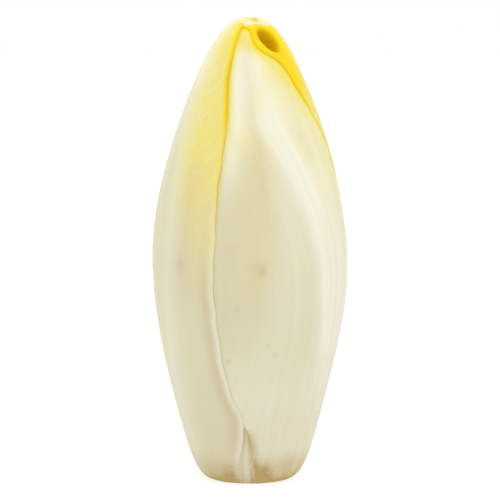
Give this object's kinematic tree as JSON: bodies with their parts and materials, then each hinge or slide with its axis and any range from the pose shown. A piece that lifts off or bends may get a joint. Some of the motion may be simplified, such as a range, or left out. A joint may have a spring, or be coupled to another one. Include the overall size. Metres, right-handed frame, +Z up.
{
  "type": "belgian endive",
  "caption": "Whole belgian endive head: tightly lapped pale leaves round a short root stem, standing on its trimmed root end.",
  "frame": {"origin": "centre of the trimmed cut, on the surface that the head stands on", "axes": "+Z up along the head from the cut to the leaf tips, -Y out of the front that the picture shows, +X to the right of it"},
  "size_m": [0.0589, 0.059, 0.1394],
  "materials": {
    "outer_leaf": "waxy ivory leaf, yellow towards the tip and the thin margins, pale ribs, tan at the cut",
    "inner_leaf": "waxy pale yellow leaf, brown at the very tip",
    "root_stem": "cut stem, off-white pith with a tan ring where it dried"
  },
  "bodies": {
    "root": {"outer_leaf_left": "outer_leaf", "outer_leaf_back": "outer_leaf", "outer_leaf_front": "outer_leaf", "broken_leaf_foot": "outer_leaf", "inner_leaf_1": "inner_leaf", "inner_leaf_2": "inner_leaf", "inner_leaf_3": "inner_leaf", "inner_leaf_4": "inner_leaf", "inner_leaf_5": "inner_leaf", "inner_leaf_6": "inner_leaf", "inner_leaf_7": "inner_leaf", "inner_leaf_8": "inner_leaf", "inner_leaf_9": "inner_leaf", "heart_bud": "inner_leaf", "root_stem": "root_stem"}
  },
  "joints": []
}
